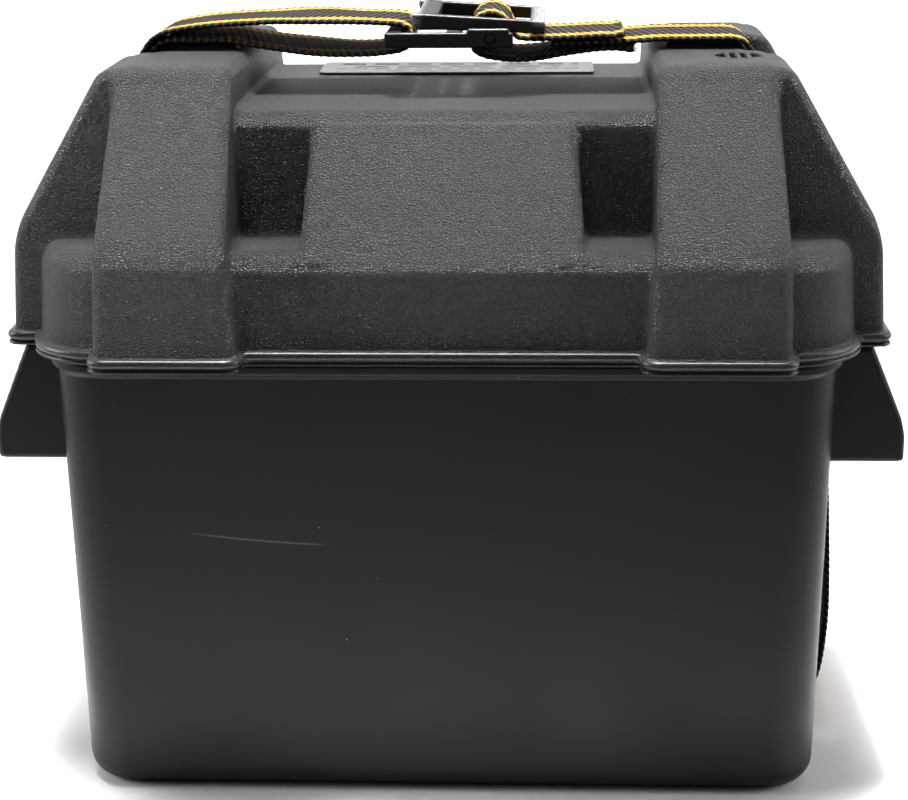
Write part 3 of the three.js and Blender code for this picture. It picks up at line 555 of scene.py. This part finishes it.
# ------------------------------------------------------------------ materials
class Paint:
    """One procedural material and short names for its nodes."""

    def __init__(self, name, colour, roughness, **constants):
        self.material = bpy.data.materials.new(name)
        self.material.use_nodes = True
        self.tree = self.material.node_tree
        self.shader = self.tree.nodes["Principled BSDF"]
        self.shader.inputs["Base Color"].default_value = (*colour, 1)
        self.shader.inputs["Roughness"].default_value = roughness
        for key, value in constants.items():
            self.shader.inputs[key.replace("_", " ")].default_value = value

    def node(self, kind, out, settings=None, **inputs):
        """A new node, its settings and inputs set, given back as one of its output sockets."""
        made = self.tree.nodes.new("ShaderNode" + kind)
        for key, value in (settings or {}).items():
            setattr(made, key, value)
        for key, value in inputs.items():
            socket = made.inputs[int(key[1:]) if key[0] == "_" else key.replace("_", " ")]
            if isinstance(value, bpy.types.NodeSocket):
                self.tree.links.new(value, socket)
            else:
                socket.default_value = value
        return made.outputs[out]

    def math(self, operation, a, b=0.0, c=0.0):
        """One Math node on up to three sockets or numbers."""
        return self.node("Math", 0, {"operation": operation}, _0=a, _1=b, _2=c)

    def stretch(self, value, low, high, to_low=0.0, to_high=1.0):
        """Maps value from low..high to to_low..to_high, clamped and eased."""
        return self.node("MapRange", 0, {"interpolation_type": "SMOOTHSTEP"}, _0=value, _1=low, _2=high,
                         _3=to_low, _4=to_high)

    def blend_colours(self, share, a, b):
        return self.node("Mix", 2, {"data_type": "RGBA"}, _0=share, _6=a, _7=b)

    def place(self, scale=(1, 1, 1)):
        """The piece's own coordinates in millimetres, stretched by scale."""
        here = self.node("TexCoord", "Object")
        size = tuple(s / MM for s in scale)
        return self.node("Mapping", 0, Vector=here, Scale=size)

    def noise(self, vector, scale, detail=2.0, roughness=0.5):
        return self.node("TexNoise", 0, Vector=vector, Scale=scale, Detail=detail, Roughness=roughness)

    def set(self, name, socket):
        self.tree.links.new(socket, self.shader.inputs[name])

    def bump(self, height, distance, strength=1.0, below=None):
        """Surface relief of distance millimetres."""
        extra = {"Normal": below} if below else {}
        return self.node("Bump", 0, Strength=strength, Distance=distance * MM, Height=height, **extra)


def grey(value):
    """A neutral colour with a trace of blue, as the photo's black plastic has."""
    return (value, value, value * 1.01, 1)


def leather_grain():
    """Lid plastic: pebbled leather grain with painted shade in its creases and painted highlights on its
    pebble tops, a smooth rim and a few dust specks.
    """
    p = Paint("lid_grain", (0.04, 0.04, 0.041), 0.5, Specular_IOR_Level=0.38)
    here = p.place((1.0, 1.0, 1.35))
    wander = p.node("TexNoise", 1, Vector=here, Scale=0.55, Detail=2.0)
    bent = p.node("VectorMath", 0, {"operation": "MULTIPLY_ADD"}, _0=wander,
                  _1=(0.7, 0.7, 0.7), _2=here)
    crease = p.node("TexVoronoi", 0, {"feature": "DISTANCE_TO_EDGE"}, Vector=bent, Scale=1.05, Randomness=1.0)
    pebble = p.stretch(crease, 0.0, 0.28)
    fine = p.noise(here, 2.8, 3.0, 0.6)
    axis = p.node("SeparateXYZ", 0, _0=p.place()).node.outputs
    above_rim = p.stretch(axis[2], BEAD_TOP - 0.3, BEAD_TOP + 1.2)
    height = p.math("ADD", pebble, p.math("MULTIPLY", fine, 0.8))
    p.set("Normal", p.bump(p.math("MULTIPLY", height, above_rim), 0.46, 1.0))
    cloud = p.noise(here, 0.03, 3.0)
    base = p.blend_colours(cloud, grey(0.007), grey(0.012))
    # Painted highlight and shade: the pebble tops are lightened towards grey as glints, and the creases keep
    # the dark base colour as shade.
    tone = p.math("MULTIPLY", pebble, p.stretch(fine, 0.32, 0.66, 0.05, 1.0))
    wear_and_glint = p.blend_colours(tone, base, grey(0.060))
    speck = p.stretch(p.node("TexVoronoi", 0, {"feature": "F1"}, Vector=here, Scale=0.11), 0.035, 0.02)
    p.set("Base Color", p.blend_colours(p.math("MULTIPLY", speck, 0.6), wear_and_glint, grey(0.35)))
    grainy = p.stretch(fine, 0.3, 0.7, 0.36, 0.54)
    p.set("Roughness", p.math("MULTIPLY_ADD", above_rim, p.math("SUBTRACT", grainy, 0.30), 0.30))
    return p.material


def satin_black():
    """Tub plastic: smooth satin black with faint mottling, a long scratch on the front and a little dust."""
    p = Paint("tub_satin", (0.008, 0.008, 0.0085), 0.40, Specular_IOR_Level=0.20)
    here = p.place()
    fine = p.noise(here, 1.7, 3.0, 0.6)
    broad = p.noise(here, 0.035, 3.0, 0.55)
    p.set("Normal", p.bump(fine, 0.018, 0.6))
    axis = p.node("SeparateXYZ", 0, _0=here).node.outputs

    # The scratch is a thin sagging line round a middle point, on the front face only.
    middle_x, middle_z, slope, reach = -55.0, 82.8, -0.084, 22.6
    run = p.math("SUBTRACT", axis[0], middle_x)
    sag = p.math("MULTIPLY", p.math("MULTIPLY", run, run), 0.0012)
    line = p.math("SUBTRACT", p.math("SUBTRACT", axis[2], middle_z), p.math("MULTIPLY_ADD", run, slope, sag))
    off = p.math("ABSOLUTE", p.math("ADD", line, 0.6))
    length = p.stretch(p.math("ABSOLUTE", run), reach, reach * 0.55)
    front = p.math("LESS_THAN", axis[1], -60.0)
    scratch = p.math("MULTIPLY", p.math("MULTIPLY", p.stretch(off, 0.42, 0.08), length), front)
    base = p.blend_colours(broad, grey(0.006), grey(0.009))

    speck = p.stretch(p.node("TexVoronoi", 0, {"feature": "F1"}, Vector=here, Scale=0.085), 0.028, 0.015)
    dusty = p.blend_colours(p.math("MULTIPLY", speck, 0.55), base, grey(0.30))
    p.set("Base Color", p.blend_colours(p.math("MULTIPLY", scratch, 0.55), dusty, grey(0.13)))
    p.set("Roughness", p.stretch(broad, 0.3, 0.7, 0.38, 0.47))
    return p.material


def woven_strap():
    """Webbing: black, with two golden stripes, scalloped borders, slanted ribs and fine yarns; both colours
    carry painted highlights on the rib tops and painted shade between the ribs.
    """
    p = Paint("strap_weave", (0.012, 0.011, 0.013), 0.72, Specular_IOR_Level=0.12)
    uv = p.node("UVMap", 0, {"uv_map": "strap"})
    axis = p.node("SeparateXYZ", 0, _0=uv).node.outputs
    across = p.math("MULTIPLY", axis[0], STRAP_WIDTH)
    along = p.math("MULTIPLY", axis[1], STRAP_WIDTH)
    edge = p.math("MINIMUM", across, p.math("SUBTRACT", STRAP_WIDTH, across))
    turn = 2 * math.pi / RIB
    slant = p.math("MULTIPLY", p.math("MULTIPLY_ADD", across, RIB_SLANT, along), turn)
    rib = p.math("MULTIPLY_ADD", p.math("SINE", slant), 0.5, 0.5)
    scallop = p.math("MULTIPLY", p.math("SINE", p.math("MULTIPLY", along, turn)), 0.55)
    border = p.math("ADD", edge, scallop)
    inner = p.math("SUBTRACT", edge, scallop)
    stripe = p.math("MULTIPLY", p.stretch(border, 2.4, 2.9), p.stretch(inner, 8.6, 8.0))
    yarn = p.math("MULTIPLY", p.math("SINE", p.math("MULTIPLY", across, 2 * math.pi / 0.9)),
                  p.math("SINE", p.math("MULTIPLY", along, 2 * math.pi / 1.2)))
    fibre = p.node("TexNoise", 0, Vector=p.place(), Scale=3.0, Detail=3.0)
    # Painted highlight and shade: the black and the gold are lighter on each rib top and darker between the
    # ribs.
    ridge = p.stretch(rib, 0.62, 1.0)
    black = p.blend_colours(ridge, (0.0016, 0.0014, 0.0018, 1), (0.060, 0.050, 0.047, 1))
    yarn_and_rib_highlight = p.math("MULTIPLY_ADD", yarn, 0.2, p.math("MULTIPLY_ADD", rib, 0.75, 0.12))
    gold = p.blend_colours(yarn_and_rib_highlight, (0.20, 0.08, 0.004, 1), (0.92, 0.54, 0.06, 1))
    coloured = p.blend_colours(stripe, black, gold)
    p.set("Base Color", p.blend_colours(p.math("MULTIPLY", fibre, 0.35), coloured, (0.02, 0.016, 0.015, 1)))
    p.set("Normal", p.bump(p.math("MULTIPLY_ADD", yarn, 0.22, rib), 0.42, 1.0))
    p.set("Roughness", p.stretch(fibre, 0.3, 0.7, 0.60, 0.82))
    return p.material


def worn_acetal():
    """Buckle plastic: satin black, fine scuffs, rubbed lighter on the lever's two ends and along its top."""
    p = Paint("buckle_acetal", (0.010, 0.010, 0.011), 0.36, Specular_IOR_Level=0.3)
    here = p.place()
    axis = p.node("SeparateXYZ", 0, _0=here).node.outputs
    scuff = p.noise(p.place((1.0, 0.25, 1.0)), 1.6, 4.0, 0.65)
    ends = p.math("MAXIMUM", p.stretch(axis[0], -7.5, -11.0), p.stretch(axis[0], 24.0, 27.5))
    wear_and_glint = p.math("MULTIPLY", p.stretch(scuff, 0.36, 0.56), p.stretch(axis[2], 225.8, 227.6))
    rubbed = p.math("MULTIPLY", ends, wear_and_glint)
    plain = p.blend_colours(scuff, grey(0.004), grey(0.012))
    p.set("Base Color", p.blend_colours(p.math("MULTIPLY", rubbed, 0.85), plain, grey(0.34)))
    p.set("Roughness", p.stretch(scuff, 0.3, 0.7, 0.26, 0.46))
    p.set("Normal", p.bump(scuff, 0.03, 0.5))
    return p.material


def printed_label():
    """Grey plaque with plain dark bars in rows where a label would carry its print."""
    p = Paint("label_plaque", (0.20, 0.20, 0.205), 0.55, Specular_IOR_Level=0.2)
    here = p.place()
    axis = p.node("SeparateXYZ", 0, _0=here).node.outputs
    fine = p.noise(here, 1.4, 3.0)
    marks = None
    for middle, half, period, fill, reach in ((45.0, 2.2, 11.0, 0.72, 40.0), (38.6, 1.5, 17.0, 0.8, 34.0),
                                              (33.4, 1.0, 7.0, 0.66, 40.0), (29.2, 0.8, 9.0, 0.7, 26.0)):
        row = p.stretch(p.math("ABSOLUTE", p.math("SUBTRACT", axis[1], middle)), half + 0.15, half - 0.15)
        beat = p.math("PINGPONG", p.math("ADD", axis[0], 200.0), period / 2)
        bar = p.stretch(beat, period * fill / 2 + 0.15, period * fill / 2 - 0.15)
        limit = p.math("LESS_THAN", p.math("ABSOLUTE", axis[0]), reach)
        mark = p.math("MULTIPLY", p.math("MULTIPLY", row, bar), limit)
        marks = p.math("MAXIMUM", marks, mark) if marks else mark
    paper = p.blend_colours(fine, grey(0.075), grey(0.100))
    p.set("Base Color", p.blend_colours(p.math("MULTIPLY", marks, 0.95), paper, grey(0.012)))
    p.set("Roughness", p.stretch(fine, 0.3, 0.7, 0.50, 0.64))
    p.set("Normal", p.bump(fine, 0.02, 0.5))
    return p.material


def mottled(name, dark, light, roughness, grain, relief, **constants):
    """Moulded or cast surface: two close tones in broad clouds over a fine grain."""
    p = Paint(name, light, roughness[0], **constants)
    here = p.place()
    fine = p.noise(here, grain, 4.0, 0.6)
    broad = p.noise(here, 0.06, 3.0)
    p.set("Base Color", p.blend_colours(p.math("MULTIPLY_ADD", fine, 0.4, p.math("MULTIPLY", broad, 0.6)),
                                        (*dark, 1), (*light, 1)))
    p.set("Roughness", p.stretch(fine, 0.3, 0.7, *roughness))
    p.set("Normal", p.bump(fine, relief, 0.7))
    return p.material


def layered_plates():
    """Edges of the plates and glass mats of one cell, as fine upright layers."""
    p = Paint("plate_layers", (0.12, 0.12, 0.11), 0.8)
    here = p.place()
    axis = p.node("SeparateXYZ", 0, _0=here).node.outputs
    wobble = p.noise(here, 0.3, 2.0)
    layer = p.math("MULTIPLY_ADD", p.math("SINE", p.math("MULTIPLY_ADD", axis[0], 2.6, wobble)), 0.5, 0.5)
    p.set("Base Color", p.blend_colours(layer, (0.06, 0.055, 0.05, 1), (0.42, 0.41, 0.38, 1)))
    p.set("Normal", p.bump(layer, 0.3, 0.8))
    p.set("Roughness", p.stretch(wobble, 0.3, 0.7, 0.7, 0.9))
    return p.material


def paint_cad(material, *names):
    """Gives CAD nodes a material, and softens their edges."""
    for name in names:
        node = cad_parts[name]
        node.data.materials.clear()
        node.data.materials.append(material)
        edge = node.modifiers.new("edges", "BEVEL")
        edge.width = 0.35 * MM
        edge.segments = 2
        edge.limit_method = "ANGLE"
        edge.angle_limit = math.radians(40)
        edge.harden_normals = False


# ------------------------------------------------------------------ pieces
def finish_piece(piece, body, slot, material, *nodes):
    """Paints a piece and lets it stand for CAD nodes. It rides on its body, when one is given."""
    piece.data.materials.append(material)
    if body:
        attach(piece, body)
    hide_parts(*nodes)


lid_shell = surface_mesh(
    "lid_shell", lid_field,
    mirrored_line((0, 36, 3.0), (36, 43, 1.2), (43, 56, 2.2), (56, 78, 1.3), (78, 94.5, 0.55),
                  (94.5, 134, 1.25)),
    mirrored_line((0, 19, 3.0), (19, 27, 1.1), (27, 44, 1.2), (44, 99, 1.3)),
    grid_line((RIM_Z - 1.4, 142.4, 0.55), (142.4, 201, 1.25), (201, 216, 1.0), (216, 222.5, 0.55)))
finish_piece(lid_shell, "lid", "lid", leather_grain(), "lid")

tub_shell = surface_mesh(
    "tub_shell", tub_field,
    mirrored_line((0, 95, 4.0), (95, 139, 1.3)),
    mirrored_line((0, 17, 4.0), (17, 24, 1.3), (24, 54, 4.0), (54, 88, 1.4)),
    grid_line((-1.5, 11, 1.2), (11, 98, 4.0), (98, 148, 1.2)))
finish_piece(tub_shell, "base", "base", satin_black(), "base_box")

buckle_plastic = worn_acetal()
frame_piece = surface_mesh(
    "buckle_frame_detail", frame_field, grid_line((-20.5, 20.5, 0.45)),
    mirrored_line((0, 21.5, 1.2), (21.5, 27.0, 0.4)), grid_line((219.4, 227.2, 0.4)))
finish_piece(frame_piece, "lid", "buckle", buckle_plastic, "buckle_frame")

lever_piece = surface_mesh(
    "buckle_lever_detail", lever_field, grid_line((-13.5, 30.5, 0.42)),
    mirrored_line((0, 18.0, 1.2), (18.0, 23.7, 0.4)), grid_line((218.0, 231.8, 0.42)))
finish_piece(lever_piece, "lever", "buckle", buckle_plastic, "buckle_lever")

weave = woven_strap()
strap_run = LEFT_PATH + [(-x, z) for x, z in LOWER_HALF] + LOWER_HALF[::-1] + RIGHT_PATH
webbing_main = make_webbing("webbing_main", strap_run, wave=(-60, -22, 0.25))
finish_piece(webbing_main, None, "webbing", weave, "strap_lower", "strap_left", "strap_right")
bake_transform(webbing_main)

webbing_buckle = make_webbing("webbing_buckle", buckle_path(), step=0.5, frayed=True)
finish_piece(webbing_buckle, None, "webbing", weave,
             "strap_right_fold", "strap_buckle_loop", "strap_right_tail")
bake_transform(webbing_buckle)

CELLS = range(1, 7)
paint_cad(buckle_plastic, "buckle_pin_front", "buckle_pin_rear")
paint_cad(printed_label(), "lid_label")
case_plastic = mottled("case_plastic", (0.075, 0.082, 0.09), (0.10, 0.11, 0.12), (0.42, 0.55), 0.9, 0.05)
paint_cad(case_plastic, "battery_case")
cover_plastic = mottled("cover_plastic", (0.030, 0.034, 0.038), (0.05, 0.055, 0.06), (0.38, 0.52), 0.9, 0.05)
paint_cad(cover_plastic, "battery_cover", "vent_strip")
cap_rubber = mottled("cap_rubber", (0.012, 0.012, 0.012), (0.026, 0.026, 0.026), (0.7, 0.85), 1.4, 0.06)
paint_cad(cap_rubber, *[f"vent_cap_{i}" for i in CELLS])
paint_cad(layered_plates(), *[f"cell_pack_{i}" for i in CELLS])
cast_lead = mottled(
    "cast_lead", (0.20, 0.21, 0.22), (0.36, 0.37, 0.39), (0.42, 0.62), 0.7, 0.12, Metallic=0.85)
paint_cad(cast_lead, *[f"cell_link_{i}" for i in CELLS[:-1]], "terminal_negative", "terminal_positive")
zinc_plate = mottled(
    "zinc_plate", (0.52, 0.53, 0.55), (0.68, 0.69, 0.71), (0.24, 0.38), 1.8, 0.02, Metallic=1.0)
paint_cad(zinc_plate, "terminal_bolt_negative", "terminal_bolt_positive",
          "terminal_nut_negative", "terminal_nut_positive")


# ------------------------------------------------------------------ camera, lights and floor
CAMERA_PLACE = (0.03075, -0.66993, 0.29756)
CAMERA_TURN = (-2.672, 16.243, -0.535)    # yaw, pitch and roll in degrees
CAMERA_SENSOR, CAMERA_LENS = 36.0, 84.04


def aim_camera():
    """Long lens from the front, a little right of the middle and looking down on the lid."""
    camera_data = bpy.data.cameras.new("camera")
    camera = bpy.data.objects.new("camera", camera_data)
    bpy.context.scene.collection.objects.link(camera)
    yaw, pitch, roll = (math.radians(angle) for angle in CAMERA_TURN)
    camera.location = CAMERA_PLACE
    level = Matrix.Rotation(math.pi / 2 - pitch, 4, "X") @ Matrix.Rotation(roll, 4, "Z")
    camera.rotation_euler = (Matrix.Rotation(-yaw, 4, "Z") @ level).to_euler()
    camera_data.sensor_width, camera_data.lens = CAMERA_SENSOR, CAMERA_LENS
    camera_data.clip_start = 0.01
    bpy.context.scene.camera = camera


# Name, place, aim, (width, depth), watts and spread in degrees. The two above the lid stand a little behind
# it, which leaves its upright faces darker than its slopes.
SOFTBOXES = (
    ("top_softbox", (-0.03, 0.06, 1.1), (0.0, 0.0, 0.1), (0.6, 0.3), 2.2, 34),
    ("lid_softbox", (0.0, 0.12, 1.1), (0.0, -0.012, 0.15), (0.34, 0.20), 0.26, 6),
    ("back_softbox", (0.0, 2.6, 2.2), (0, 2.7, 0.0), (5.0, 3.0), 95.0, 95),
    ("middle_softbox", (0.0, 0.85, 1.5), (0, 0.95, 0.0), (1.8, 0.7), 9.0, 75),
    ("left_softbox", (-1.0, 0.0, 0.5), (0, 0.05, 0.15), (0.7, 0.7), 1.5, 60),
    ("right_softbox", (1.0, 0.0, 0.5), (0, 0.05, 0.15), (0.7, 0.7), 1.0, 60),
)


def add_area(name, location, target, size, power, spread):
    """A rectangular softbox that faces its target."""
    data = bpy.data.lights.new(name, "AREA")
    data.shape = "RECTANGLE"
    data.size, data.size_y = size
    data.energy = power
    data.spread = math.radians(spread)
    lamp = bpy.data.objects.new(name, data)
    lamp.location = location
    aim = Vector(target) - Vector(location)
    lamp.rotation_euler = aim.to_track_quat("-Z", "Y").to_euler()
    bpy.context.scene.collection.objects.link(lamp)


def make_floor():
    """Pale paper floor, wide enough for every view, with a faint tone in it."""
    mesh = bpy.data.meshes.new("floor")
    half = 5.0
    corners = [(-half, -half, 0), (half, -half, 0), (half, half, 0), (-half, half, 0)]
    mesh.from_pydata(corners, [], [(0, 1, 2, 3)])
    floor = bpy.data.objects.new("floor", mesh)
    p = Paint("paper", (0.86, 0.86, 0.86), 0.8, Specular_IOR_Level=0.1)
    p.set("Base Color", p.blend_colours(p.noise(p.place(), 0.004, 2.0), grey(0.85), grey(0.88)))
    mesh.materials.append(p.material)
    bpy.context.scene.collection.objects.link(floor)


def light_scene():
    """Soft studio light: softboxes, and a world that is dim at the front and bright at the back."""
    world = bpy.data.worlds.new("studio")
    world.use_nodes = True
    nodes, links = world.node_tree.nodes, world.node_tree.links
    axis = nodes.new("ShaderNodeSeparateXYZ")
    links.new(nodes.new("ShaderNodeTexCoord").outputs["Generated"], axis.inputs[0])
    fade = nodes.new("ShaderNodeMapRange")
    for limit, value in (("From Min", -0.35), ("From Max", 0.5), ("To Min", 0.03), ("To Max", 0.85)):
        fade.inputs[limit].default_value = value
    links.new(axis.outputs["Y"], fade.inputs["Value"])
    links.new(fade.outputs[0], nodes["Background"].inputs["Strength"])
    nodes["Background"].inputs["Color"].default_value = (1, 1, 1, 1)
    bpy.context.scene.world = world
    bpy.context.scene.view_settings.view_transform = "Standard"
    for softbox in SOFTBOXES:
        add_area(*softbox)


aim_camera()
make_floor()
light_scene()
